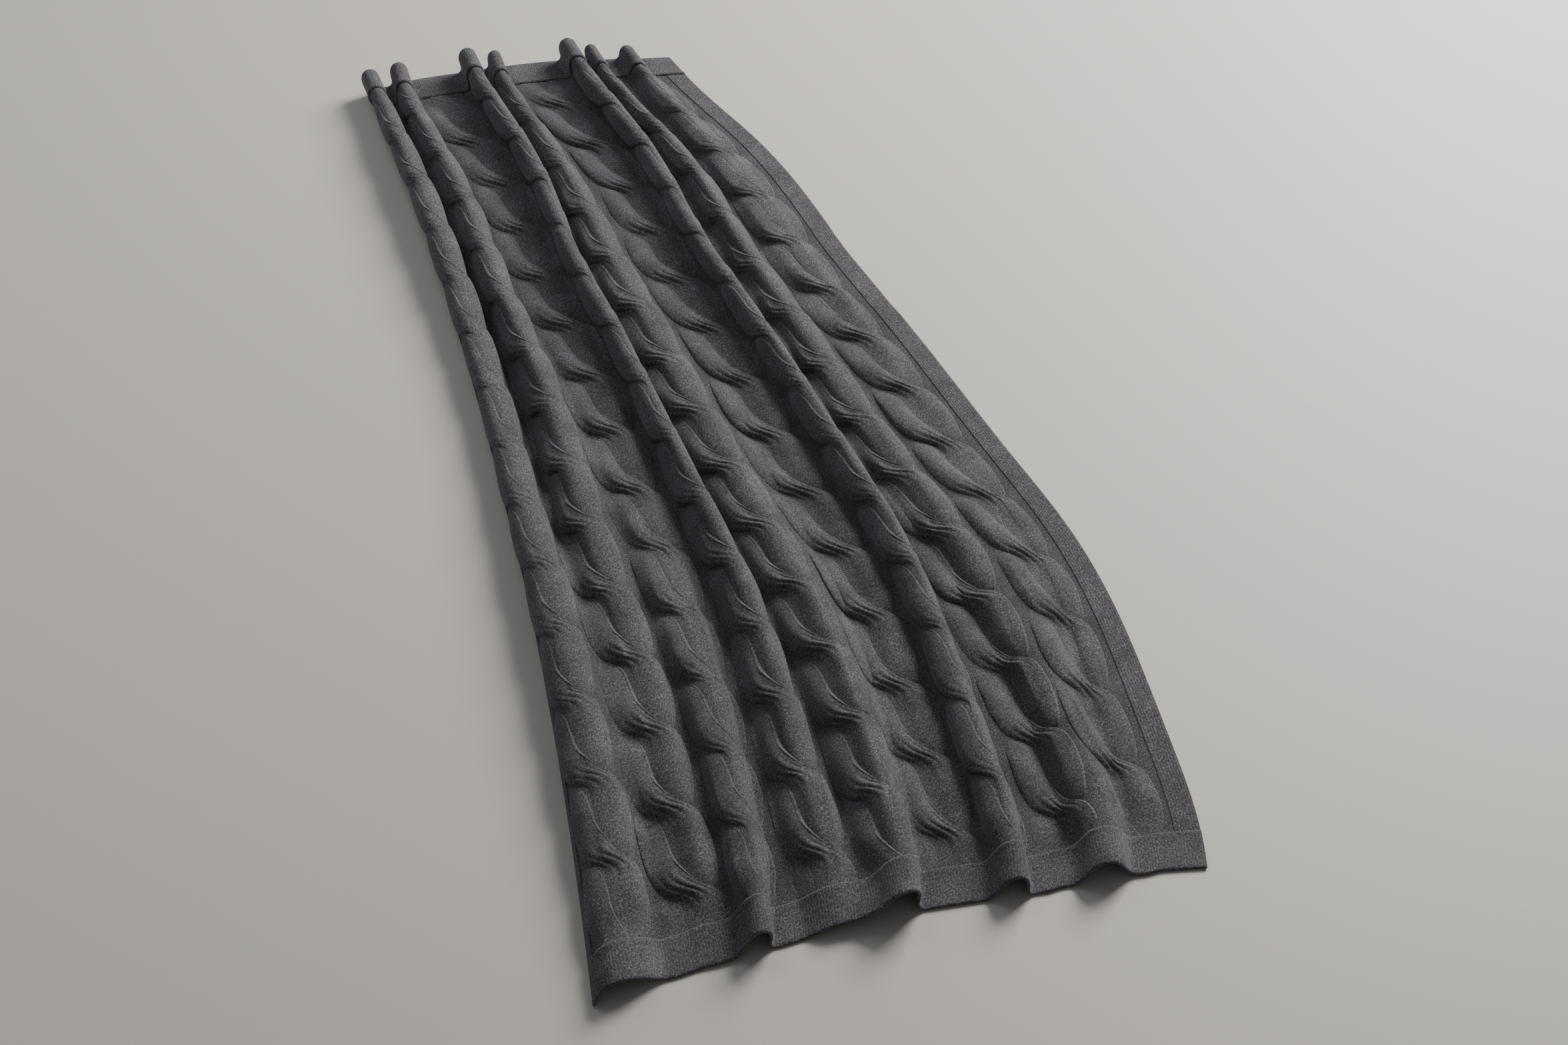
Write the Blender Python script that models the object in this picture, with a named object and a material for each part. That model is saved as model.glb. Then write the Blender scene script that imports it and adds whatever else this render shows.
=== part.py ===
"""Cable-knit throw blanket, laid out on a flat surface in long uneven folds.

The throw is one rectangle of knitted cloth with nine cables along its length. It is gathered into long folds
at its far end, and the folds wander, spread and sink towards its near hem. Each row of the cloth keeps its
knitted width and each cable its knitted length, so the outline follows from the folds.
Metres, +Z up. The cloth lies on Z = 0 with its cables along Y and its near hem towards -Y.
"""

import math

import bmesh
import bpy
import numpy as np

# The cloth as it was knitted.
CABLES = 9
CABLE_PITCH = 0.092
LEFT_BAND = 0.010
RIGHT_BAND = 0.035
WIDTH = LEFT_BAND + CABLES * CABLE_PITCH + RIGHT_BAND
LENGTH = 1.78
THICKNESS = 0.006

# Where the left edge lies at the far hem, half way and at the near hem, before the solid is centred.
LEFT_EDGE_PLACES = (-0.39, -0.31, -0.32)

# How far the far hem bows away from a straight line between its corners.
FAR_HEM_BOW = 0.03

# How finely the solid is divided, and the sums that shape it.
STEPS_ACROSS = 84
STEPS_ALONG = 27
FINE_STEPS_ACROSS = 1428

# A flank's slope sets in over this share of its width, holds, and then turns over into the crest.
FOOT_SHARE = 0.42

# Cloth that would stand this little off the floor sinks onto it.
SAG = 0.0015

# No fold is ever quite gone.
LEAST_SLOPE = math.radians(1.0)

# No fold is quite regular: its crest strays to either side, in cables, and its slopes swell and sink, as a
# share of themselves. Both come and go in slow waves along the throw, out of step from fold to fold.
STRAY = 0.06
SWELL = 0.03
WAVES = 1.7
TURNS_OUT_OF_STEP = 0.382

# Each fold, from left to right. The crest is counted in cables from the left band, and so is rise, the
# width of cloth in the left flank. The slopes are the steepest of each flank in degrees. Each is given for
# the far hem, half way and the near hem. A fall of over 90 degrees makes the crest hang over its right foot.
# The left edge has no foot: its flank starts beyond the cloth, so the edge itself is turned under.
STATIONS = ("far", "middle", "near")
FOLD_COLUMNS = (
    "name", "rise", "crest_far", "crest_middle", "crest_near",
    "rise_far", "rise_middle", "rise_near", "fall_far", "fall_middle", "fall_near",
)
FOLD_ROWS = (
    ("left_edge",    0.84, 0.44, 0.46, 0.40,  122, 104, 64,   90, 66, 34),
    ("left_inner",   0.60, 1.54, 1.56, 1.65,   98, 66, 5,      94, 60, 5),
    ("left_lobe",    0.62, 2.60, 2.50, 2.36,    2, 16, 70,      2, 16, 100),
    ("long_centre",  0.66, 3.42, 3.48, 3.75,   98, 84, 22,     98, 116, 22),
    ("short_centre", 0.50, 4.58, 4.54, 4.60,   92, 28, 2,     106, 28, 2),
    ("centre_wave",  0.95, 4.95, 4.80, 4.66,    2, 10, 50,      2, 10, 98),
    ("long_right",   0.64, 6.42, 6.46, 6.50,   98, 84, 54,     96, 110, 86),
    ("right_inner",  0.46, 7.50, 7.60, 7.90,   96, 48, 3,      98, 46, 3),
    ("right_wave",   0.70, 8.30, 8.20, 8.05,    2, 10, 48,      2, 10, 60),
    ("right_edge",   0.42, 8.46, 8.50, 8.60,   82, 8, 2,       80, 8, 2),
)
FOLDS = [dict(zip(FOLD_COLUMNS, row)) for row in FOLD_ROWS]


def eased(share):
    """0 to 1 with level ends."""
    share = np.clip(share, 0.0, 1.0)
    return share * share * (3.0 - 2.0 * share)


def slope_share(along_flank):
    """How steep a flank is at each share of its width from foot to crest, as a share of its steepest slope."""
    past_foot = np.clip((along_flank - FOOT_SHARE) / (1.0 - FOOT_SHARE), 0.0, 1.0)
    return np.where(along_flank < 1.0, eased(along_flank / FOOT_SHARE) * (1.0 - past_foot**2), 0.0)


def flank_height(steepest):
    """The height that a flank of unit width climbs."""
    samples = (np.arange(200) + 0.5) / 200
    return np.sin(steepest * slope_share(samples)).mean()


def along(from_far, far, middle, near):
    """A value along the throw, from its far hem (0) to its near hem (1), by way of its value half way."""
    from_near = 1.0 - from_far
    return (
        far * from_near * (1.0 - 2.0 * from_far)
        + middle * 4.0 * from_far * from_near
        + near * from_far * (1.0 - 2.0 * from_near)
    )


def row_slopes(across, from_far):
    """The cloth's slope at each place across one row, in radians. Every fold comes down as far as it climbs."""
    step = across[1] - across[0]
    slopes = np.zeros_like(across)
    for number, fold in enumerate(FOLDS):
        crest, rise, fall = (
            along(from_far, *(fold[f"{quality}_{station}"] for station in STATIONS))
            for quality in ("crest", "rise", "fall")
        )
        wave = 2 * math.pi * (WAVES * from_far + TURNS_OUT_OF_STEP * number)
        swell = 1.0 + SWELL * math.cos(wave)
        rise, fall = (max(math.radians(slope) * swell, LEAST_SLOPE) for slope in (rise, fall))
        crest = LEFT_BAND + (crest + STRAY * math.sin(wave)) * CABLE_PITCH
        rise_width = fold["rise"] * CABLE_PITCH
        rising = rise * slope_share((across - crest + rise_width) / rise_width) * (across < crest)
        climb = (np.sin(slopes + rising) - np.sin(slopes)).sum() * step
        fall_width = climb / flank_height(fall)
        falling = fall * slope_share((crest + fall_width - across) / fall_width) * (across >= crest)
        slopes += rising - falling
    return slopes


def row_profile(from_far):
    """One row of the cloth seen from its near side: how far right and up each of its places is."""
    step = WIDTH / FINE_STEPS_ACROSS
    slopes = row_slopes((np.arange(FINE_STEPS_ACROSS) + 0.5) * step, from_far)
    right = np.concatenate([[0.0], np.cumsum(np.cos(slopes)) * step])
    up = np.concatenate([[0.0], np.cumsum(np.sin(slopes)) * step])
    return along(from_far, *LEFT_EDGE_PLACES) + right, np.maximum(up - up.min() - SAG, 0.0)


def middle_surface():
    """The cloth's middle surface, as a grid of points: one row of points for each step along the throw."""
    every = FINE_STEPS_ACROSS // STEPS_ACROSS
    profiles = [row_profile(i / STEPS_ALONG) for i in range(STEPS_ALONG + 1)]
    right = np.array([p[0][::every] for p in profiles])
    up = np.array([p[1][::every] for p in profiles])
    spent = np.diff(right, axis=0) ** 2 + np.diff(up, axis=0) ** 2
    advance = np.sqrt(np.maximum((LENGTH / STEPS_ALONG) ** 2 - spent, 0.0))
    share_across = np.linspace(0.0, 1.0, STEPS_ACROSS + 1)
    away = np.zeros_like(right)
    away[0] = FAR_HEM_BOW * 4.0 * share_across * (1.0 - share_across)
    away[1:] = away[0] - np.cumsum(advance, axis=0)
    return np.stack([right, away, up + THICKNESS / 2], axis=-1)


def surface_normals(points):
    """The upward unit normal at each point of the grid."""
    down_the_throw, to_the_right = np.gradient(points, axis=(0, 1))
    normals = np.cross(down_the_throw, to_the_right)
    return normals / np.linalg.norm(normals, axis=-1, keepdims=True)


def add_sheet(name, middle, material):
    """A closed sheet of even thickness about a grid of middle points."""
    rows, columns = middle.shape[:2]
    half = surface_normals(middle) * THICKNESS / 2
    mesh = bmesh.new()
    layers = [
        [[mesh.verts.new(middle[i, j] + side * half[i, j]) for j in range(columns)] for i in range(rows)]
        for side in (-1, 1)
    ]
    under, over = layers
    for i in range(rows - 1):
        for j in range(columns - 1):
            mesh.faces.new((over[i][j], over[i + 1][j], over[i + 1][j + 1], over[i][j + 1]))
            mesh.faces.new((under[i][j], under[i][j + 1], under[i + 1][j + 1], under[i + 1][j]))
    rim = (
        [(0, j) for j in range(columns - 1)]
        + [(i, columns - 1) for i in range(rows - 1)]
        + [(rows - 1, j) for j in range(columns - 1, 0, -1)]
        + [(i, 0) for i in range(rows - 1, 0, -1)]
    )
    for (i, j), (k, m) in zip(rim, rim[1:] + rim[:1]):
        mesh.faces.new((over[i][j], over[k][m], under[k][m], under[i][j]))
    bmesh.ops.recalc_face_normals(mesh, faces=mesh.faces)
    bmesh.ops.triangulate(mesh, faces=mesh.faces)
    data = bpy.data.meshes.new(name)
    mesh.to_mesh(data)
    mesh.free()
    data.shade_smooth()
    data.materials.append(material)
    sheet = bpy.data.objects.new(name, data)
    bpy.context.scene.collection.objects.link(sheet)
    return sheet


def knit_material():
    """Charcoal wool knit: dark, grey and fully matt."""
    material = bpy.data.materials.new("charcoal_knit")
    material.use_nodes = True
    shader = material.node_tree.nodes["Principled BSDF"]
    shader.inputs["Base Color"].default_value = (0.055, 0.056, 0.062, 1.0)
    shader.inputs["Roughness"].default_value = 0.95
    shader.inputs["Metallic"].default_value = 0.0
    return material


for old in list(bpy.data.objects):
    bpy.data.objects.remove(old)

cloth = middle_surface()
lowest, highest = cloth.min(axis=(0, 1)), cloth.max(axis=(0, 1))
cloth[..., :2] -= (lowest[:2] + highest[:2]) / 2
add_sheet("blanket", cloth, knit_material())
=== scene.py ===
"""A charcoal cable-knit throw, laid out in long uneven folds: ground knit, nine cables, hem and side bands,
and the loose fibres of the brushed wool.

Metres, +Z up. The far hem is towards +Y and the near hem towards -Y. Every piece but the fibres is worked out
on the flat cloth, as a place across it from its left edge, a place down it from its far hem and a height off
its middle surface, and is then laid into the folds. The fibres stand on the laid cables.
"""

import math

import bpy
import numpy as np
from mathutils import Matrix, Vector


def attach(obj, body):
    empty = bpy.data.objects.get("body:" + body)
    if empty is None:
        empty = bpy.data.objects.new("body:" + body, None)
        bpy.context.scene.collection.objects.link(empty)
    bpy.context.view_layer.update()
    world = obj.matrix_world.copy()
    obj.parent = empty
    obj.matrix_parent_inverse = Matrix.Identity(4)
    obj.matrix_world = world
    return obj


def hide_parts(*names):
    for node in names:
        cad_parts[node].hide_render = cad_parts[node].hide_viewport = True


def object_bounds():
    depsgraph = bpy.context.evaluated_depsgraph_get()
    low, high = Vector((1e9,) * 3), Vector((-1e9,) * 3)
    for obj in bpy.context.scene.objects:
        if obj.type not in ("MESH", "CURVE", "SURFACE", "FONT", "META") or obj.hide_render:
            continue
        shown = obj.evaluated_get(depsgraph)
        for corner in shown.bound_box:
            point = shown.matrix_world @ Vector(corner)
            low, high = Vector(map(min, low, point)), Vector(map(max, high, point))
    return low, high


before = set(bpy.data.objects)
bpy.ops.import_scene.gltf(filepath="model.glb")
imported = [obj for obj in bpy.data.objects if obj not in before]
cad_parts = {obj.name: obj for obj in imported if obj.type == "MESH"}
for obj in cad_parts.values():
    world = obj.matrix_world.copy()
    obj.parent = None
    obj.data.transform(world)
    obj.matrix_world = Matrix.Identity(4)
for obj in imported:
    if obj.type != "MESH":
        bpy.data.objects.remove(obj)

cad_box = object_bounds()


# --- Ground knit ------------------------------------------------------------------------------------------
# The one cloth that all the rest is knitted with: fine charcoal wool, purl side up, so that it shows as
# narrow furrows of short bars between the cables. It lies in long folds that wander down the throw.

CABLES = 9
CABLE_PITCH = 0.092
LEFT_BAND = 0.010
RIGHT_BAND = 0.035
WIDTH = LEFT_BAND + CABLES * CABLE_PITCH + RIGHT_BAND
LENGTH = 1.78
LEFT_EDGE_PLACES = (-0.39, -0.31, -0.32)
FAR_HEM_BOW = 0.03

# A flank's foot as a share of it, how far the valleys press into the floor, and the least slope of a flank.
# Crests stray in waves, by a share of a cable, and slopes swell by a share of themselves.
FOOT_SHARE = 0.42
SAG = 0.0015
LEAST_SLOPE = math.radians(1.0)
STRAY = 0.06
SWELL = 0.03
WAVES = 1.7
TURNS_OUT_OF_STEP = 0.382

# The cloth's half thickness, where its ground knit begins and ends, and the least height over the floor.
HALF_THICKNESS = 0.003
GROUND_UNDERSIDE = -0.0027
GROUND_TOP = -0.0010
FLOOR_GAP = 0.0001

# A cable's full height, the gap that stays between two that meet, and the least share of the height left.
CABLE_HEIGHT = 0.009
FREE_GAP = 0.0006
LEAST_ROOM = 0.22

# Each fold, from left to right: the crest in cables from the left band, the width of its left flank in
# cables, and the steepest slope of each flank in degrees, at the far hem, half way and the near hem.
STATIONS = ("far", "middle", "near")
FOLD_COLUMNS = (
    "name", "rise", "crest_far", "crest_middle", "crest_near",
    "rise_far", "rise_middle", "rise_near", "fall_far", "fall_middle", "fall_near",
)
FOLD_ROWS = (
    ("left_edge",    0.84, 0.44, 0.46, 0.40,  122, 104, 64,   90, 66, 34),
    ("left_inner",   0.60, 1.54, 1.56, 1.65,   98, 66, 5,      94, 60, 5),
    ("left_lobe",    0.62, 2.60, 2.50, 2.36,    2, 16, 70,      2, 16, 100),
    ("long_centre",  0.66, 3.42, 3.48, 3.75,   98, 84, 22,     98, 116, 22),
    ("short_centre", 0.50, 4.58, 4.54, 4.60,   92, 28, 2,     106, 28, 2),
    ("centre_wave",  0.95, 4.95, 4.80, 4.66,    2, 10, 50,      2, 10, 98),
    ("long_right",   0.64, 6.42, 6.46, 6.50,   98, 84, 54,     96, 110, 86),
    ("right_inner",  0.46, 7.50, 7.60, 7.90,   96, 48, 3,      98, 46, 3),
    ("right_wave",   0.70, 8.30, 8.20, 8.05,    2, 10, 48,      2, 10, 60),
    ("right_edge",   0.42, 8.46, 8.50, 8.60,   82, 8, 2,       80, 8, 2),
)
FOLDS = [dict(zip(FOLD_COLUMNS, row)) for row in FOLD_ROWS]
FINE_COLUMNS = 1428
FINE_ROWS = 356
FLANK_SAMPLES = 200
NEAR_NOTHING = 1e-6


def eased(share):
    """0 to 1 with level ends: three times the square less twice the cube."""
    share = np.clip(share, 0.0, 1.0)
    return share * share * (3.0 - 2.0 * share)


def slope_share(along_flank):
    """How steep a flank is from foot to crest: it eases in over the foot and turns over as a parabola."""
    past_foot = np.clip((along_flank - FOOT_SHARE) / (1.0 - FOOT_SHARE), 0.0, 1.0)
    return np.where(along_flank < 1.0, eased(along_flank / FOOT_SHARE) * (1.0 - past_foot**2), 0.0)


def flank_height(steepest):
    """The height that a flank of unit width climbs: the mean sine of its slope."""
    samples = (np.arange(FLANK_SAMPLES) + 0.5) / FLANK_SAMPLES
    return np.sin(steepest * slope_share(samples)).mean(axis=1, keepdims=True)


def along(from_far, far, middle, near):
    """A value down the throw: the parabola through its values at the far hem, half way and the near hem."""
    from_near = 1.0 - from_far
    return (
        far * from_near * (1.0 - 2.0 * from_far)
        + middle * 4.0 * from_far * from_near
        + near * from_far * (1.0 - 2.0 * from_near)
    )


def fold_slopes(across, from_far):
    """The cloth's slope at each place: each fold adds its rise before its crest and takes away its fall after
    it, and the fall is as wide as it has to be to come down as far as the rise climbs."""
    step = across[1] - across[0]
    slopes = np.zeros((len(from_far), len(across)))
    for number, fold in enumerate(FOLDS):
        crest, rise, fall = (
            along(from_far, *(fold[f"{quality}_{station}"] for station in STATIONS))
            for quality in ("crest", "rise", "fall")
        )
        wave = 2 * math.pi * (WAVES * from_far + TURNS_OUT_OF_STEP * number)
        swell = 1.0 + SWELL * np.cos(wave)
        rise, fall = (np.maximum(np.radians(slope) * swell, LEAST_SLOPE) for slope in (rise, fall))
        crest = LEFT_BAND + (crest + STRAY * np.sin(wave)) * CABLE_PITCH
        rise_width = fold["rise"] * CABLE_PITCH
        rising = rise * slope_share((across - crest + rise_width) / rise_width) * (across < crest)
        climb = (np.sin(slopes + rising) - np.sin(slopes)).sum(axis=1, keepdims=True) * step
        fall_width = climb / flank_height(fall)
        falling = fall * slope_share((crest + fall_width - across) / fall_width) * (across >= crest)
        slopes += rising - falling
    return slopes


def running_sum(values, axis):
    """The sum up to each place, starting from 0."""
    first = np.zeros_like(np.take(values, [0], axis=axis))
    return np.concatenate([first, np.cumsum(values, axis=axis)], axis=axis)


def middle_surface():
    """The cloth's middle surface, one row of points for each step down the throw: across a row the slopes are
    summed into places right and up, and every second place is kept. Down the throw each cable keeps its
    knitted length."""
    step = WIDTH / FINE_COLUMNS
    from_far = np.linspace(0.0, 1.0, FINE_ROWS + 1)[:, None]
    slopes = fold_slopes((np.arange(FINE_COLUMNS) + 0.5) * step, from_far)
    right = along(from_far, *LEFT_EDGE_PLACES) + running_sum(np.cos(slopes) * step, 1)
    up = running_sum(np.sin(slopes) * step, 1)
    up = np.maximum(up - up.min(axis=1, keepdims=True) - SAG, 0.0)
    right, up = right[:, ::2], up[:, ::2]
    spent = np.diff(right, axis=0) ** 2 + np.diff(up, axis=0) ** 2
    advance = np.sqrt(np.maximum((LENGTH / FINE_ROWS) ** 2 - spent, 0.0))
    share_across = np.linspace(0.0, 1.0, right.shape[1])
    away = FAR_HEM_BOW * 4.0 * share_across * (1.0 - share_across) - running_sum(advance, 0)
    return np.stack([right, away, up + HALF_THICKNESS], axis=-1)


def surface_normals(points):
    """The upward unit normal at each point: the way down the throw crossed with the way to the right."""
    down_the_throw, to_the_right = np.gradient(points, axis=(0, 1))
    normals = np.cross(down_the_throw, to_the_right)
    return normals / np.linalg.norm(normals, axis=-1, keepdims=True)


def softened(values, times):
    """Each value averaged with its neighbours in both directions, over and over."""
    for _ in range(times):
        padded = np.pad(values, 1, mode="edge")
        values = (padded[:-2, 1:-1] + padded[2:, 1:-1] + padded[1:-1, :-2] + padded[1:-1, 2:]) / 4
    return values


def room_above(points, normals):
    """The share of its full height that a cable has room for, at every fourth place. A ball that touches the
    cloth there and grows off it along the normal stops at the first other place of the same row that it
    meets: its radius is the squared distance to that place over twice the distance along the normal."""
    flat, up = points[::4, ::4, ::2], normals[::4, ::4, ::2]
    apart = flat[:, None, :, :] - flat[:, :, None, :]
    ahead = np.einsum("rijk,rik->rij", apart, up)
    square = (apart**2).sum(axis=-1)
    radius = np.where(ahead > NEAR_NOTHING, square / np.maximum(2.0 * ahead, NEAR_NOTHING), 1.0).min(axis=2)
    share = np.clip((radius - HALF_THICKNESS - FREE_GAP) / CABLE_HEIGHT, LEAST_ROOM, 1.0)
    return softened(share, 4)


def bend_across(points, normals):
    """How sharply the cloth bends over from left to right, as one over its radius: above 0 over a crest and
    below 0 in a valley. It is how fast the normal turns along the way to the right."""
    to_the_right = np.gradient(points, axis=1)
    turn = (np.gradient(normals, axis=1) * to_the_right).sum(axis=-1)
    return softened(turn / (to_the_right**2).sum(axis=-1), 6)


cloth = middle_surface()
low, high = cloth.min(axis=(0, 1)), cloth.max(axis=(0, 1))
cloth[..., :2] += (np.array(cad_box[0])[:2] + np.array(cad_box[1])[:2] - low[:2] - high[:2]) / 2
cloth_up = surface_normals(cloth)
cloth_room = room_above(cloth, cloth_up)
cloth_bend = bend_across(cloth, cloth_up)


def read_off(grid, across, down):
    """A grid over the whole cloth read between its points, each of the four around a place weighted by how
    near it is."""
    row = np.clip(down / LENGTH, 0.0, 1.0) * (grid.shape[0] - 1)
    column = np.clip(across / WIDTH, 0.0, 1.0) * (grid.shape[1] - 1)
    i = np.minimum(row.astype(int), grid.shape[0] - 2)
    j = np.minimum(column.astype(int), grid.shape[1] - 2)
    r, c = row - i, column - j
    if grid.ndim == 3:
        r, c = r[..., None], c[..., None]
    return (
        grid[i, j] * (1 - r) * (1 - c) + grid[i + 1, j] * r * (1 - c)
        + grid[i, j + 1] * (1 - r) * c + grid[i + 1, j + 1] * r * c
    )


def laid(across, down, height):
    """Where places on the flat cloth come to lie: the middle surface there, plus the normal times the height.
    Raised places sink where the folds leave them little room, and nothing goes into the floor."""
    raised = np.maximum(height - GROUND_TOP, 0.0) * read_off(cloth_room, across, down)
    height = np.minimum(height, GROUND_TOP) + raised
    normals = read_off(cloth_up, across, down)
    normals /= np.linalg.norm(normals, axis=-1, keepdims=True)
    points = read_off(cloth, across, down) + normals * height[..., None]
    points[..., 2] = np.maximum(points[..., 2], FLOOR_GAP)
    return points


def grid_faces(rows, columns, first=0, round_and_round=False):
    """Two triangles for each square of a grid of points numbered row by row. Going down and then right,
    they face up. Round and round, the last column joins the first."""
    i, j = np.meshgrid(np.arange(rows - 1), np.arange(columns - (not round_and_round)), indexing="ij")
    here, there = first + i * columns + j, first + i * columns + (j + 1) % columns
    halves = [[here, here + columns, there + columns], [here, there + columns, there]]
    return np.stack([np.stack(half, axis=-1) for half in halves], axis=2).reshape(-1, 3)


def shell_faces(rows, columns):
    """A closed shell of two grids, the upper one numbered first: both, and a rim between their edges."""
    size = rows * columns
    rim = np.concatenate([
        np.arange(columns), np.arange(1, rows) * columns + columns - 1,
        size - 2 - np.arange(columns - 1), np.arange(rows - 2, 0, -1) * columns,
    ])
    after = np.roll(rim, -1)
    rim_faces = np.concatenate([
        np.stack([rim, after, after + size], axis=-1),
        np.stack([rim, after + size, rim + size], axis=-1),
    ])
    under = grid_faces(rows, columns, first=size)[:, ::-1]
    return np.concatenate([grid_faces(rows, columns), under, rim_faces])


def knitted_piece(name, points, faces, stitches, material):
    """A smooth mesh from arrays of points, triangles and stitch counts, the counts across and down kept as
    its own UV map. It rides on the throw and has its finish from the knit."""
    mesh = bpy.data.meshes.new(name)
    mesh.vertices.add(len(points))
    mesh.vertices.foreach_set("co", points.astype(np.float32).ravel())
    mesh.loops.add(faces.size)
    mesh.loops.foreach_set("vertex_index", faces.astype(np.int32).ravel())
    mesh.polygons.add(len(faces))
    mesh.polygons.foreach_set("loop_start", np.arange(0, faces.size, 3, dtype=np.int32))
    mesh.update(calc_edges=True)
    counts = stitches[faces.ravel()].astype(np.float32)
    mesh.uv_layers.new(name="stitches").uv.foreach_set("vector", counts.ravel())
    mesh.shade_smooth()
    mesh.materials.append(material)
    piece = bpy.data.objects.new(name, mesh)
    bpy.context.scene.collection.objects.link(piece)
    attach(piece, "root")
    return piece


def node_group(name, inputs, outputs):
    """An empty shader group with those sockets, each a name and a kind."""
    group = bpy.data.node_groups.new(name, "ShaderNodeTree")
    for socket, kind in inputs:
        group.interface.new_socket(name=socket, in_out="INPUT", socket_type=kind)
    for socket, kind in outputs:
        group.interface.new_socket(name=socket, in_out="OUTPUT", socket_type=kind)
    return group, group.nodes.new("NodeGroupInput"), group.nodes.new("NodeGroupOutput")


def math_node(tree, operation, *values):
    """A Math node: each value is a number or a socket."""
    node = tree.nodes.new("ShaderNodeMath")
    node.operation = operation
    for socket, value in zip(node.inputs, values):
        if isinstance(value, (int, float)):
            socket.default_value = value
        else:
            tree.links.new(value, socket)
    return node.outputs[0]


# Wool: how many round flecks there are to a metre and streaks to a stitch, across and down, what share of the
# whole the round flecks have, and how many slow patches there are to a metre and how strong they are. Then
# where dark, middle and pale wool are on the ramp, and their colours.
ROUND_FLECKS = 430.0
STREAKS = (2.5, 0.8, 1.0)
ROUND_SHARE = 0.45
PATCHES = 22.0
PATCH_STRENGTH = 0.16
DARK_WOOL = (0.33, (0.026, 0.025, 0.028, 1))
MIDDLE_WOOL = (0.50, (0.0935, 0.092, 0.101, 1))
PALE_WOOL = (0.68, (0.274, 0.267, 0.291, 1))


def heather_group():
    """Charcoal wool spun from dark and pale fibres: round flecks and streaks along the stitches, both fine,
    over slow changes of shade. Their weighted sum picks the colour from a ramp of three."""
    group, given, result = node_group(
        "heathered_wool",
        [("Place", "NodeSocketVector"), ("Stitches", "NodeSocketVector"), ("Shade", "NodeSocketFloat")],
        [("Colour", "NodeSocketColor"), ("Fleck", "NodeSocketFloat")],
    )

    def noise(vector, scale, detail, roughness):
        node = group.nodes.new("ShaderNodeTexNoise")
        node.inputs["Scale"].default_value = scale
        node.inputs["Detail"].default_value = detail
        node.inputs["Roughness"].default_value = roughness
        group.links.new(vector, node.inputs["Vector"])
        return node.outputs[0]

    along_stitches = group.nodes.new("ShaderNodeVectorMath")
    along_stitches.operation = "MULTIPLY"
    along_stitches.inputs[1].default_value = STREAKS
    group.links.new(given.outputs["Stitches"], along_stitches.inputs[0])
    round_fleck = noise(given.outputs["Place"], ROUND_FLECKS, 1.5, 0.55)
    streak = noise(along_stitches.outputs[0], 1.0, 2.0, 0.55)
    fleck = math_node(
        group, "ADD",
        math_node(group, "MULTIPLY", round_fleck, ROUND_SHARE),
        math_node(group, "MULTIPLY", streak, 1.0 - ROUND_SHARE),
    )
    patch = noise(given.outputs["Place"], PATCHES, 2.0, 0.5)
    patch = math_node(group, "MULTIPLY", math_node(group, "SUBTRACT", patch, 0.5), PATCH_STRENGTH)
    ramp = group.nodes.new("ShaderNodeValToRGB")
    stops = ramp.color_ramp.elements
    for stop, (position, colour) in ((stops[0], DARK_WOOL), (stops[1], PALE_WOOL)):
        stop.position, stop.color = position, colour
    stops.new(MIDDLE_WOOL[0]).color = MIDDLE_WOOL[1]
    group.links.new(math_node(group, "ADD", fleck, patch), ramp.inputs["Fac"])
    shaded = group.nodes.new("ShaderNodeVectorMath")
    shaded.operation = "SCALE"
    group.links.new(ramp.outputs["Color"], shaded.inputs[0])
    group.links.new(given.outputs["Shade"], shaded.inputs["Scale"])
    group.links.new(shaded.outputs["Vector"], result.inputs["Colour"])
    group.links.new(fleck, result.inputs["Fleck"])
    return group


# Stitches: their width and height, the relief at full weight and the nap's part in it, how many courses an
# arm of a V climbs, and how wide a rib is. The lower its power, the fuller an arm or rib.
WALE = 0.0024
COURSE = 0.0021
STITCH_DEPTH = 0.0007
NAP_SHARE = 0.9
V_SLANT = 0.6
ARM_POWER = 0.6
RIB_POWER = 0.7
WALES_IN_RIB = 1.5


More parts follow.
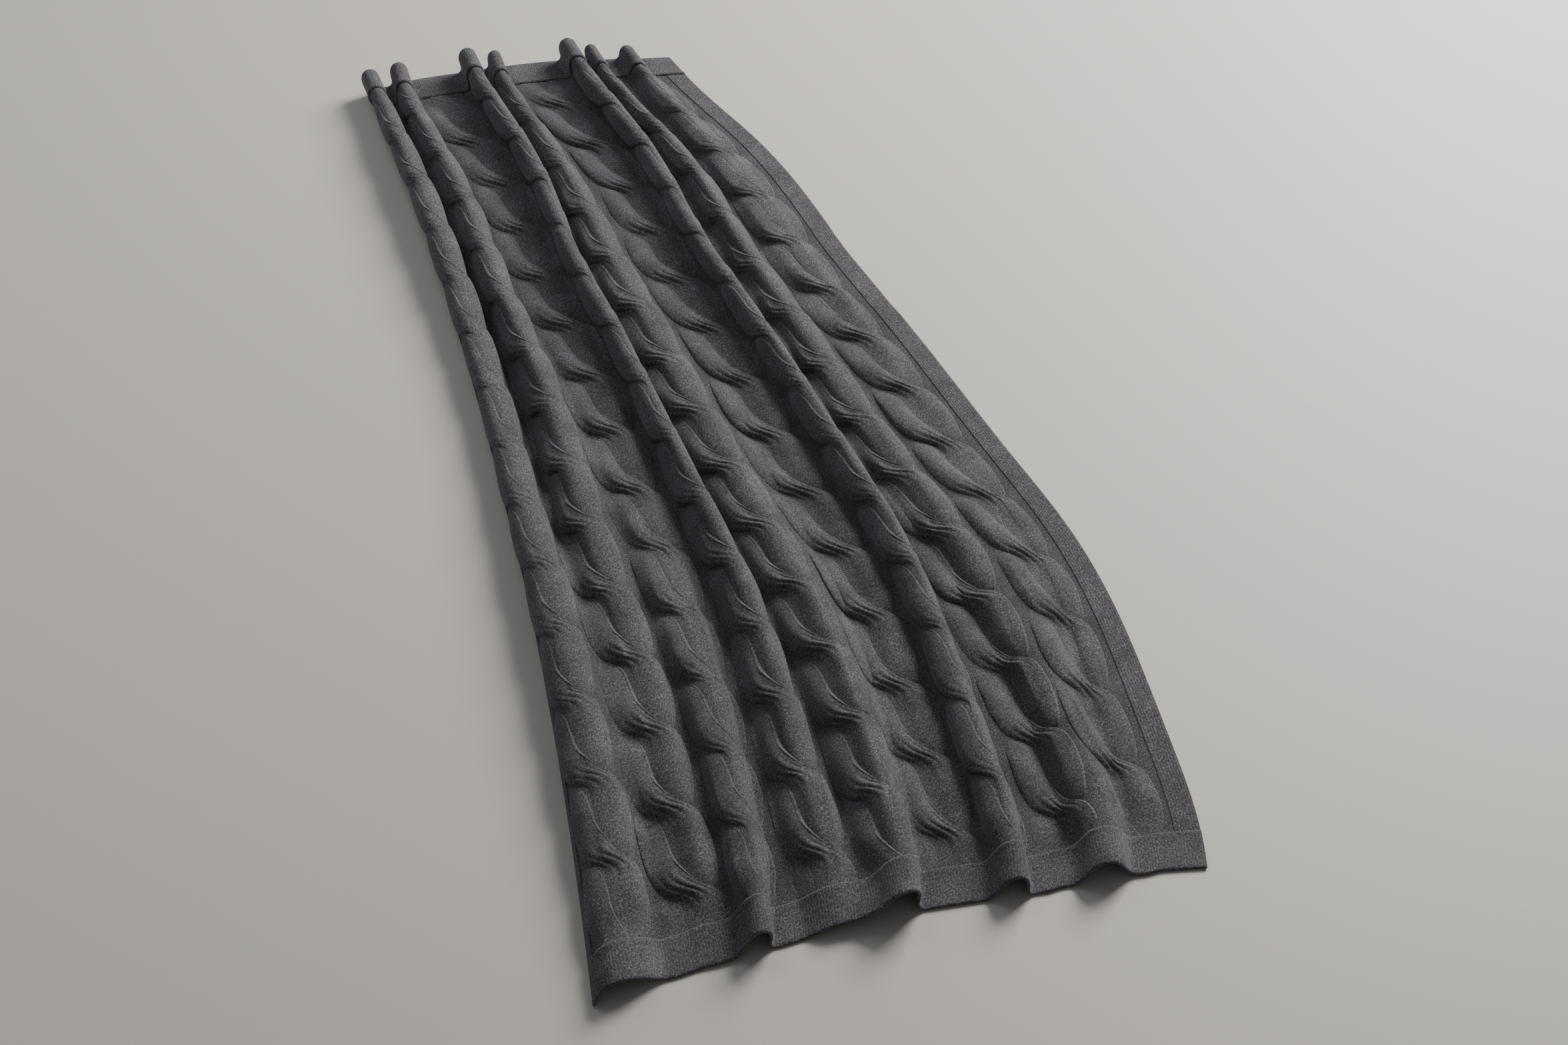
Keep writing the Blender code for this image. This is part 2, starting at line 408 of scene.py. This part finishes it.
def stitch_group():
    """The relief of three kinds of knitting, from the stitch counts across and down. Plain knit: each wale is
    two slanting arms that meet in a V. Purl: short bars, half a stitch out of step from wale to wale. Rib:
    round ridges down the cloth. All are sine waves across, times cosine waves down."""
    group, given, result = node_group(
        "stitch_relief",
        [("Stitches", "NodeSocketVector")],
        [(kind, "NodeSocketFloat") for kind in ("Plain", "Purl", "Rib")],
    )

    def made(operation, *values):
        return math_node(group, operation, *values)

    def partly(value, share):
        """The value counts for that share, and the rest is there everywhere."""
        return made("ADD", made("MULTIPLY", value, share), 1.0 - share)

    def cosine(turns):
        return made("COSINE", made("MULTIPLY", turns, 2 * math.pi))

    def humps(count, width):
        """Round humps, each that wide, side by side."""
        return made("ABSOLUTE", made("SINE", made("MULTIPLY", count, math.pi / width)))

    parts = group.nodes.new("ShaderNodeSeparateXYZ")
    group.links.new(given.outputs["Stitches"], parts.inputs[0])
    wale, course = parts.outputs["X"], parts.outputs["Y"]
    off_centre = made("ABSOLUTE", made("SUBTRACT", made("MULTIPLY", made("FRACT", wale), 2.0), 1.0))
    strand = partly(cosine(made("SUBTRACT", course, made("MULTIPLY", off_centre, V_SLANT))), 0.5)
    plain = made("MULTIPLY", made("POWER", humps(wale, 0.5), ARM_POWER), partly(strand, 0.6))
    half_steps = made("MULTIPLY", made("FLOOR", wale), 0.5)
    bar = partly(cosine(made("ADD", course, half_steps)), 0.5)
    purl = made("MULTIPLY", bar, partly(humps(wale, 1.0), 0.75))
    rib = made("MULTIPLY", made("POWER", humps(wale, WALES_IN_RIB), RIB_POWER), partly(strand, 0.5))
    for kind, height in (("Plain", plain), ("Purl", purl), ("Rib", rib)):
        group.links.new(height, result.inputs[kind])
    return group


heathered_wool = heather_group()
stitch_relief = stitch_group()


def knit_material(name, kind, weight, shade):
    """Brushed wool knit: heathered colour, fully matt with a pale bloom of loose fibres at grazing angles,
    and one kind of stitch as fine relief, half hidden by the nap. Weight is how strongly the stitches show,
    and shade multiplies the colour."""
    material = bpy.data.materials.new(name)
    material.use_nodes = True
    tree = material.node_tree
    shader = tree.nodes["Principled BSDF"]
    shader.inputs["Roughness"].default_value = 0.92
    shader.inputs["Specular IOR Level"].default_value = 0.25
    shader.inputs["Sheen Weight"].default_value = 0.22
    shader.inputs["Sheen Roughness"].default_value = 0.45
    shader.inputs["Sheen Tint"].default_value = (0.80, 0.82, 0.88, 1.0)
    counts = tree.nodes.new("ShaderNodeUVMap")
    counts.uv_map = "stitches"
    wool = tree.nodes.new("ShaderNodeGroup")
    wool.node_tree = heathered_wool
    wool.inputs["Shade"].default_value = shade
    tree.links.new(tree.nodes.new("ShaderNodeTexCoord").outputs["Object"], wool.inputs["Place"])
    tree.links.new(counts.outputs["UV"], wool.inputs["Stitches"])
    tree.links.new(wool.outputs["Colour"], shader.inputs["Base Color"])
    knit = tree.nodes.new("ShaderNodeGroup")
    knit.node_tree = stitch_relief
    tree.links.new(counts.outputs["UV"], knit.inputs["Stitches"])
    nap = math_node(tree, "MULTIPLY", wool.outputs["Fleck"], NAP_SHARE)
    stitches = math_node(tree, "MULTIPLY", knit.outputs[kind], weight)
    relief = tree.nodes.new("ShaderNodeBump")
    relief.inputs["Strength"].default_value = 1.0
    relief.inputs["Distance"].default_value = STITCH_DEPTH
    tree.links.new(math_node(tree, "ADD", stitches, nap), relief.inputs["Height"])
    tree.links.new(relief.outputs["Normal"], shader.inputs["Normal"])
    return material


# A strip's edge: where its first lines of points lie, how far in the even ones begin, how far it is round,
# and how thick it still is at the very edge, as a share. Strips lie over their neighbours by the lap.
EDGE_STEPS = np.array([0.0, 0.0008, 0.0020])
EDGE_REACH = 0.004
EDGE_ROUNDING = 0.0035
EDGE_THICKNESS = 0.25
LAP = 0.004


def edged(start, end, steps):
    """Places from start to end, closer together at both edges."""
    inner = np.linspace(start + EDGE_REACH, end - EDGE_REACH, steps)
    return np.concatenate([start + EDGE_STEPS, inner, end - EDGE_STEPS[::-1]])


def rounded_edge(places, start, end):
    """0 at both edges and 1 further in than the rounding, as a quarter circle."""
    inside = np.clip(np.minimum(places - start, end - places) / EDGE_ROUNDING, 0.0, 1.0)
    return np.sqrt(1.0 - (1.0 - inside) ** 2)


def band(name, left, right, far, near, columns, rows, under, over, material):
    """A closed strip of cloth over part of the throw. Over is the upper side's height, or gives it from the
    places down, and under is the underside's. Both round off towards each other at the edges."""
    across, down = np.meshgrid(edged(left, right, columns), edged(far, near, rows))
    fullness = rounded_edge(across, left, right) * rounded_edge(down, far, near)
    top = over(down) if callable(over) else np.full_like(down, over)
    middle = (top + under) / 2
    half = (top - under) / 2 * (EDGE_THICKNESS + (1.0 - EDGE_THICKNESS) * fullness)
    points = np.concatenate([laid(across, down, middle + side * half).reshape(-1, 3) for side in (1, -1)])
    stitches = np.stack([across / WALE, down / COURSE], axis=-1).reshape(-1, 2)
    faces = shell_faces(*across.shape)
    return knitted_piece(name, points, faces, np.concatenate([stitches, stitches]), material)


# The purl is made darker than the cables' plain knit (shade 0.74 against 0.89): painted shade for the furrows
# between the cables, where the ground knit shows.
purl_knit = knit_material("purl_knit", "Purl", weight=1.0, shade=0.74)
ground = band(
    "ground_knit", 0.0, WIDTH, LAP, LENGTH - LAP, columns=190, rows=110,
    under=GROUND_UNDERSIDE, over=GROUND_TOP, material=purl_knit,
)
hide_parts("blanket")


# --- Cables -----------------------------------------------------------------------------------------------
# Nine rope cables in plain knit, side by side along the throw. In each, two wide strands take turns: one
# rises from the left, crosses over in a gathered neck and sinks to the right, where it tucks under the next.

HEM_BAND = 0.055
CROSSING_REPEAT = 0.119
CROSSING_STRAY = 0.003
MOST_CROSSINGS = 17
LAST_CROSSING = 0.055
WALES_IN_STRAND = 18

# One strand, from where it comes out on the left to where it goes under on the right. Lengths in millimetres:
# how far it is past its crossing, its left and right edges from the cable's centre line, how much it is
# lifted as a whole and how much it is domed. Crest is where across its width it is highest. Each side is the
# power of a half wave: at 0.5 it is full and drops at its edge, and at 1.7 it is a long hollow slope.
STRAND_COLUMNS = ("past_crossing", "left", "right", "lift", "dome", "crest", "left_side", "right_side")
STRAND_ROWS = (
    (-122, -40, -33, 0.0, 0.6, 0.50,  0.9, 0.8),
    (-114, -42, -24, 0.2, 1.8, 0.46,  0.7, 0.8),
    (-104, -43, -15, 0.5, 3.0, 0.44,  0.6, 0.8),
    ( -90, -44, -10, 0.9, 4.2, 0.44,  0.6, 0.8),
    ( -72, -44,  -8, 1.4, 5.0, 0.46,  0.6, 0.8),
    ( -54, -44,  -7, 2.2, 5.4, 0.50,  0.6, 0.7),
    ( -40, -43,  -5, 3.2, 5.3, 0.54,  0.6, 0.5),
    ( -28, -41,  -1, 4.2, 5.0, 0.56,  0.7, 0.5),
    ( -17, -38,   4, 5.0, 4.6, 0.57,  0.7, 0.5),
    (  -8, -34,   9, 5.4, 4.4, 0.57,  0.8, 0.5),
    (   0, -28,  15, 5.6, 4.4, 0.57,  0.8, 0.5),
    (   7, -20,  23, 5.5, 4.5, 0.57,  0.8, 0.5),
    (  14, -12,  31, 5.1, 4.8, 0.58,  1.0, 0.5),
    (  23,  -6,  37, 4.4, 5.2, 0.57,  1.1, 0.5),
    (  34,  -7,  40, 3.4, 6.0, 0.57,  1.4, 0.5),
    (  50, -10,  42, 2.3, 7.0, 0.58,  1.7, 0.5),
    (  65, -12,  43, 1.7, 7.1, 0.58,  1.7, 0.5),
    (  82, -12,  42, 1.2, 6.4, 0.57,  1.5, 0.5),
    (  98,  -5,  40, 0.9, 5.3, 0.56,  1.2, 0.5),
    ( 110,   1,  38, 0.6, 4.2, 0.55,  1.0, 0.5),
    ( 120,  10,  35, 0.3, 2.8, 0.54,  0.8, 0.6),
    ( 130,  21,  30, 0.0, 0.8, 0.50,  0.8, 0.8),
)
STRAND = dict(zip(STRAND_COLUMNS, np.array(STRAND_ROWS, float).T))

# How deep a strand's edges lie, the power that makes its lift flatter than its dome, the place of its
# underside, the shortest piece of it that is knitted, and how far it stays from the throw's sides.
EDGE_DEPTH = 0.0020
LIFT_FLATNESS = 0.45
STRAND_UNDERSIDE = -0.0022
SHORTEST_STRAND = 0.02
SIDE_GAP = 0.002

# Strands differ by chance: in plumpness, and in slack, which shifts the crest and hollows the left side.
PLUMPNESS = (0.86, 1.12)
SLACK_SHIFT = 0.045
SLACK_HOLLOW = 0.30

# Each cable wanders to and fro by this much, over this length, out of step with the others.
WANDER = 0.0022
WANDER_LENGTH = 0.41
WANDER_PHASE = 40

# The rim on a strand's right edge: its height, its least share of that, the middle and reach of its full part
# past the crossing, and its middle and width in from the edge.
RIM_HEIGHT = 0.0021
LEAST_RIM = 0.35
RIM_MIDDLE, RIM_REACH = -0.012, 0.026
RIM_INSET, RIM_WIDTH = 0.0026, 0.0014

# The ridges of the gathered neck: how many, the depth of the grooves between them, how sharp these are, their
# middle past the crossing, how much further on that is at the left edge than at the right, and their reach.
NECK_RIDGES = 4
NECK_RIDGE_DEPTH = 0.0023
GROOVE_POWER = 0.8
NECK_MIDDLE, NECK_SKEW, NECK_REACH = 0.006, 0.012, 0.020

# Rim and grooves fade out at a strand's edges, where its half wave times this is under 1.
EDGE_FADE = 4

# Where the cloth bends over sharply, between these bends, a strand's height levels off towards the tight
# one, and its rim and grooves lose these shares. Towards a hem it flattens to a share of its height.
LOOSE_BEND, TIGHT_BEND = 12.0, 60.0
TIGHT_HEIGHT = 0.0065
RIM_LOSS, GROOVE_LOSS = 0.4, 0.75
HEM_FLATNESS = 0.25
HEM_REACH = 0.06

SHARES_OVER_STRAND = np.concatenate([
    np.linspace(0.0, 0.06, 4, endpoint=False),
    np.linspace(0.06, 0.84, 21, endpoint=False),
    np.linspace(0.84, 1.0, 12),
])
STEPS_UNDER_STRAND = 5
FIRST_SHARE = 1e-4
NECK_START, NECK_END = -0.042, 0.040
chance = np.random.default_rng(7)


def smooth_through(at, places, values):
    """A smooth curve through values at places: between two of them a cubic, whose slope at each place is that
    of the line between its neighbours."""
    slopes = np.gradient(values, places)
    k = np.clip(np.searchsorted(places, at) - 1, 0, len(places) - 2)
    gap = places[k + 1] - places[k]
    t = np.clip((at - places[k]) / gap, 0.0, 1.0)
    return (
        values[k] * (1 + 2 * t) * (1 - t) ** 2 + slopes[k] * gap * t * (1 - t) ** 2
        + values[k + 1] * t * t * (3 - 2 * t) - slopes[k + 1] * gap * t * t * (1 - t)
    )


def bell(distance, reach, power=2):
    """1 in the middle and fading out both ways: e to the negative of the distance in reaches to a power."""
    return np.exp(-((distance / reach) ** power))


def strand_surface(past_crossing, share, slack):
    """A strand's upper side: its place across, its height, its rim's height and its grooves' depth. Across it
    runs straight from its left to its right edge. Its height is a half wave to the power of that side times
    the dome, plus a flatter one times the lift. The rim is a narrow bell curve along the right edge, highest
    just before the crossing. The grooves run along the strand between four ridges and fade out above and
    below the crossing. Slack, from -1 to 1, moves the crest to the right and hollows the left side."""
    left, right, lift, dome, crest, left_side, right_side = (
        smooth_through(past_crossing * 1000, STRAND["past_crossing"], STRAND[name])
        for name in STRAND_COLUMNS[1:]
    )
    left, right, lift, dome = (value / 1000 for value in (left, right, lift, dome))
    crest = crest + SLACK_SHIFT * slack
    half_wave = np.maximum(np.sin(math.pi * share ** (math.log(0.5) / np.log(crest))), 0.0)
    side = np.where(share < crest, left_side * (1.0 + SLACK_HOLLOW * slack), right_side)
    height = lift * half_wave ** (side * LIFT_FLATNESS) + dome * half_wave**side - EDGE_DEPTH
    within = np.minimum(half_wave * EDGE_FADE, 1.0)
    rim_along = LEAST_RIM + (1.0 - LEAST_RIM) * bell(past_crossing - RIM_MIDDLE, RIM_REACH, 4)
    rim_across = bell((1.0 - share) * (right - left) - RIM_INSET, RIM_WIDTH)
    gathered = bell(past_crossing - NECK_MIDDLE - NECK_SKEW * (0.5 - share), NECK_REACH)
    grooves = 1.0 - np.abs(np.sin(math.pi * NECK_RIDGES * share)) ** GROOVE_POWER
    rim = RIM_HEIGHT * rim_along * rim_across * within
    return left + (right - left) * share, height, rim, NECK_RIDGE_DEPTH * grooves * gathered * within


def strand_rows():
    """Places along a strand, past its crossing: close together over the neck and wider apart elsewhere."""
    start, end = STRAND["past_crossing"][[0, -1]] / 1000
    return np.concatenate([
        np.linspace(start, NECK_START, 14, endpoint=False),
        np.linspace(NECK_START, NECK_END, 28, endpoint=False),
        np.linspace(NECK_END, end, 17),
    ])


def cable_points(centre, crossings, far, near):
    """All the strands of one cable as closed tubes: over the upper side from left to right and back along the
    underside, inside the ground knit. A strand that would pass a hem ends there, and all strands flatten
    towards the hems. Over a tight crest a height h levels off to h over 1 + h / the tight height."""
    rows = strand_rows()
    start, end = rows[0], rows[-1]
    first, last = np.maximum(start, far - crossings), np.minimum(end, near - crossings)
    kept = last - first > SHORTEST_STRAND
    crossings, first, last = crossings[kept], first[kept], last[kept]
    past = first[:, None] + (last - first)[:, None] * (rows - start) / (end - start)
    share = np.concatenate([SHARES_OVER_STRAND, np.linspace(1.0, 0.0, STEPS_UNDER_STRAND + 2)[1:-1]])
    past, share = np.broadcast_arrays(past[:, :, None], share)
    plumpness = chance.uniform(*PLUMPNESS, len(crossings))[:, None, None]
    slack = chance.uniform(-1.0, 1.0, len(crossings))[:, None, None]
    offset, height, rim, grooves = strand_surface(past, np.clip(share, FIRST_SHARE, 1 - FIRST_SHARE), slack)
    down = past + crossings[:, None, None]
    wander = WANDER * np.sin(2 * math.pi * down / WANDER_LENGTH + centre * WANDER_PHASE)
    across = np.clip(centre + offset + wander, SIDE_GAP, WIDTH - SIDE_GAP)
    tight = eased((read_off(cloth_bend, across, down) - LOOSE_BEND) / (TIGHT_BEND - LOOSE_BEND))
    height = (height + EDGE_DEPTH) * plumpness
    height = height / (1.0 + tight * height / TIGHT_HEIGHT)
    height = height + rim * (1.0 - RIM_LOSS * tight) - grooves * (1.0 - GROOVE_LOSS * tight)
    to_hem = eased(np.minimum(down - far, near - down) / HEM_REACH)
    height = height * (HEM_FLATNESS + (1.0 - HEM_FLATNESS) * to_hem) - EDGE_DEPTH
    over = np.arange(share.shape[2]) < len(SHARES_OVER_STRAND)
    height = np.where(over, height, STRAND_UNDERSIDE)
    stitches = np.stack([share * WALES_IN_STRAND, down / COURSE], axis=-1)
    return laid(across, down, height), stitches


def tube_faces(rows):
    """Triangles of one strand: a grid that joins up round its rows, and over each end a flat cap. In a cap,
    each step along the upper side makes a triangle with the nearest point of the underside, and each step
    along the underside one with the upper point where that nearest point changes."""
    over, under = len(SHARES_OVER_STRAND), STEPS_UNDER_STRAND
    lower = np.concatenate([[0], np.arange(over + under - 1, over - 1, -1), [over - 1]])
    nearest = np.round((SHARES_OVER_STRAND[1:] + SHARES_OVER_STRAND[:-1]) / 2 * (under + 1)).astype(int)
    j, k = np.arange(over - 1), np.arange(under + 1)
    changes = np.searchsorted(nearest, k, side="right")
    cap = np.concatenate([
        np.stack([j, j + 1, lower[nearest]], axis=-1),
        np.stack([lower[k + 1], lower[k], changes], axis=-1),
    ])
    cap = cap[(cap != np.roll(cap, 1, axis=1)).all(axis=1)]
    tube = grid_faces(rows, over + under, round_and_round=True)
    last_row = (rows - 1) * (over + under)
    return np.concatenate([tube, cap, cap[:, ::-1] + last_row])


plain_knit = knit_material("plain_knit", "Plain", weight=0.38, shade=0.89)
cables = []
for number in range(CABLES):
    centre = LEFT_BAND + (number + 0.5) * CABLE_PITCH
    last_crossing = LENGTH - HEM_BAND - LAST_CROSSING - (0.0 if number % 2 else CROSSING_REPEAT / 2)
    crossings = last_crossing - CROSSING_REPEAT * (np.arange(MOST_CROSSINGS) - 1)
    crossings = crossings + chance.uniform(-CROSSING_STRAY, CROSSING_STRAY, MOST_CROSSINGS)
    points, stitches = cable_points(centre, crossings, HEM_BAND - LAP, LENGTH - HEM_BAND + LAP)
    strands, rows, columns = points.shape[:3]
    faces = tube_faces(rows) + (rows * columns * np.arange(strands))[:, None, None]
    cables.append(knitted_piece(
        f"cable_{number + 1}", points.reshape(-1, 3), faces.reshape(-1, 3), stitches.reshape(-1, 2),
        plain_knit,
    ))


# --- Hem bands --------------------------------------------------------------------------------------------
# A narrow band in fine rib across each end of the throw, knitted on in one with it. It is a little proud of
# the cloth, its free edge is round, and a low welt runs along the edge where it joins the cables.

HEM_TOP = 0.0014
HEM_UNDERSIDE = -0.0030
HEM_OVERHANG = 0.0004
WELT = 0.0008
WELT_WIDTH = 0.003


def hem_top(down):
    """A level band with a welt as a bell curve along its inner edge."""
    from_end = np.minimum(down, LENGTH - down)
    return HEM_TOP + WELT * bell(from_end - HEM_BAND + LAP, WELT_WIDTH)


rib_knit = knit_material("rib_knit", "Rib", weight=0.50, shade=0.85)
hems = [
    band(
        f"{name}_hem_band", -HEM_OVERHANG, WIDTH + HEM_OVERHANG, far, far + HEM_BAND, columns=320, rows=12,
        under=HEM_UNDERSIDE, over=hem_top, material=rib_knit,
    )
    for name, far in (("far", 0.0), ("near", LENGTH - HEM_BAND))
]


# --- Side bands -------------------------------------------------------------------------------------------
# A plain margin along each long side. The right one is flat with fine ribs, and the left one is narrow and
# turned under, so it shows as a round double edge. Both reach a little way into the hem bands.

SIDE_UNDERSIDE = -0.0029
RIGHT_BAND_TOP = 0.0
LEFT_BAND_TOP = 0.0014
HEM_LAP = 0.003

side_knit = knit_material("side_knit", "Rib", weight=0.8, shade=0.84)
side_bands = [
    band(
        name, left, right, HEM_BAND - HEM_LAP, LENGTH - HEM_BAND + HEM_LAP, columns=columns, rows=150,
        under=SIDE_UNDERSIDE, over=top, material=side_knit,
    )
    for name, left, right, columns, top in (
        ("right_side_band", WIDTH - RIGHT_BAND + LAP, WIDTH, 14, RIGHT_BAND_TOP),
        ("left_side_band", 0.0, LEFT_BAND + LAP, 8, LEFT_BAND_TOP),
    )
]


# --- Loose fibres -----------------------------------------------------------------------------------------
# The wool is brushed, so fine hairs stand off the cables and catch the light. Each is a thin bent spike that
# starts inside the knit, its colour made paler as a painted highlight for that light.

FIBRES = 9000
FIBRE_RADIUS = 0.00009
FIBRE_TAPER = 0.7
FIBRE_LENGTHS = (0.0015, 0.0055)
TIP_SHARE = 0.9
ROOT_DEPTH = 0.0006
ROOT_STRAY = 0.001
# The fibres' colour is the wool's times this: a painted highlight for the light that loose hairs catch.
FIBRE_PAINTED_HIGHLIGHT = 2.8

# How much of the normal and of one chance direction make a fibre's way out, and how much of the normal, the
# same direction and a second one make its way on past the bend.
WAY_OUT = (0.7, 0.55)
WAY_ON = (0.25, 0.7, 0.5)


def fibre_points(roots, normals):
    """Three corners at the root, three at the bend and one at the tip of every fibre. It leaves along the
    normal mixed with a chance direction, and bends further over for nearly as much again."""

    def unit(ways):
        return ways / np.linalg.norm(ways, axis=1, keepdims=True)

    count = len(roots)
    lean = chance.normal(size=(2, count, 3))
    first = unit(normals * WAY_OUT[0] + lean[0] * WAY_OUT[1])
    second = unit(normals * WAY_ON[0] + lean[0] * WAY_ON[1] + lean[1] * WAY_ON[2])
    length = chance.uniform(*FIBRE_LENGTHS, (count, 1))
    bend = roots + first * length
    tip = bend + second * length * TIP_SHARE
    aside = unit(np.cross(first, lean[1]))
    turned = np.cross(first, aside)
    thirds = np.arange(3) * 2 * math.pi / 3
    corners = [aside * math.cos(turn) + turned * math.sin(turn) for turn in thirds]
    root_ring = [roots - first * ROOT_DEPTH + corner * FIBRE_RADIUS for corner in corners]
    bend_ring = [bend + corner * FIBRE_RADIUS * FIBRE_TAPER for corner in corners]
    return np.stack([*root_ring, *bend_ring, tip], axis=1)


def fibre_faces(count):
    """Triangles of that many fibres: a cap at the root, a sleeve up to the bend and a cone to the tip."""
    after = [1, 2, 0]
    cap = [(2, 1, 0)]
    sleeve = [(j, after[j], 3 + after[j]) for j in range(3)] + [(j, 3 + after[j], 3 + j) for j in range(3)]
    cone = [(3 + j, 3 + after[j], 6) for j in range(3)]
    points_in_fibre = 7
    faces = np.array(cap + sleeve + cone) + points_in_fibre * np.arange(count)[:, None, None]
    return faces.reshape(-1, 3)


def fibre_finish():
    """Single hairs of the same wool, made paler: a painted highlight for the light they catch."""
    material = bpy.data.materials.new("loose_wool")
    material.use_nodes = True
    tree = material.node_tree
    shader = tree.nodes["Principled BSDF"]
    shader.inputs["Roughness"].default_value = 0.6
    wool = tree.nodes.new("ShaderNodeGroup")
    wool.node_tree = heathered_wool
    # Painted highlight: the hairs' colour is the wool's made 2.8 times paler.
    wool.inputs["Shade"].default_value = FIBRE_PAINTED_HIGHLIGHT
    tree.links.new(tree.nodes.new("ShaderNodeTexCoord").outputs["Object"], wool.inputs["Place"])
    tree.links.new(wool.outputs["Colour"], shader.inputs["Base Color"])
    return material


def vertex_values(pieces, attribute):
    """Three numbers for each vertex of the pieces, one row each."""
    rows = []
    for piece in pieces:
        values = np.zeros(len(piece.data.vertices) * 3, np.float32)
        piece.data.vertices.foreach_get(attribute, values)
        rows.append(values.reshape(-1, 3))
    return np.concatenate(rows)


roots, normals = vertex_values(cables, "co"), vertex_values(cables, "normal")
chosen = chance.choice(len(roots), FIBRES, replace=False)
roots = roots[chosen] + chance.uniform(-ROOT_STRAY, ROOT_STRAY, (FIBRES, 3))
fibre_places = fibre_points(roots, normals[chosen])
fibre_places[..., 2] = np.maximum(fibre_places[..., 2], FLOOR_GAP)
fibre_places = fibre_places.reshape(-1, 3)
fibres = knitted_piece(
    "loose_fibres", fibre_places, fibre_faces(FIBRES), np.zeros((len(fibre_places), 2)), fibre_finish()
)


# --- Floor, lights and camera -----------------------------------------------------------------------------
# A plain pale floor and surround, a wide soft light high at the far right and a weaker one at the far left.
# The camera looks down on the throw from in front of its near hem, a little to the left.

FLOOR_REACH = 12.0
SURROUND_STRENGTH = 0.16
VIEW_FROM = (math.radians(-12.0), math.radians(44.0))
VIEW_AIM = (0.028, -0.226, 0.02)
VIEW_DISTANCE = 3.3
LENS = 59.0


def studio_floor(reach):
    """A wide level square, pale and nearly matt."""
    mesh = bpy.data.meshes.new("floor")
    corners = [(-reach, -reach, 0), (reach, -reach, 0), (reach, reach, 0), (-reach, reach, 0)]
    mesh.from_pydata(corners, [], [(0, 1, 2, 3)])
    material = bpy.data.materials.new("pale_floor")
    material.use_nodes = True
    shader = material.node_tree.nodes["Principled BSDF"]
    shader.inputs["Base Color"].default_value = (0.62, 0.585, 0.545, 1)
    shader.inputs["Roughness"].default_value = 0.55
    mesh.materials.append(material)
    floor = bpy.data.objects.new("floor", mesh)
    bpy.context.scene.collection.objects.link(floor)


def soft_light(name, place, aim, size, power, colour):
    """A square area light at a place, facing the aim."""
    light = bpy.data.lights.new(name, "AREA")
    light.size = size
    light.energy = power
    light.color = colour
    lamp = bpy.data.objects.new(name, light)
    lamp.location = place
    lamp.rotation_euler = (Vector(aim) - Vector(place)).to_track_quat("-Z", "Y").to_euler()
    bpy.context.scene.collection.objects.link(lamp)


studio_floor(FLOOR_REACH)
soft_light(
    "key_light", place=(2.65, 2.05, 2.1), aim=(0.0, 0.0, 0.0), size=2.0, power=265, colour=(1.0, 0.985, 0.96)
)
soft_light(
    "fill_light", place=(-1.6, 2.4, 2.8), aim=(0.0, 0.6, 0.0), size=2.6, power=28, colour=(0.95, 0.97, 1.0)
)

world = bpy.data.worlds.new("surround")
world.use_nodes = True
background = world.node_tree.nodes["Background"]
background.inputs["Color"].default_value = (0.86, 0.88, 0.92, 1)
background.inputs["Strength"].default_value = SURROUND_STRENGTH
bpy.context.scene.world = world

azimuth, elevation = VIEW_FROM
outward = math.cos(elevation)
towards = Vector((math.sin(azimuth) * outward, -math.cos(azimuth) * outward, math.sin(elevation)))
camera = bpy.data.objects.new("camera", bpy.data.cameras.new("camera"))
camera.data.lens = LENS
camera.location = Vector(VIEW_AIM) + towards * VIEW_DISTANCE
camera.rotation_euler = (-towards).to_track_quat("-Z", "Y").to_euler()
bpy.context.scene.collection.objects.link(camera)
bpy.context.scene.camera = camera
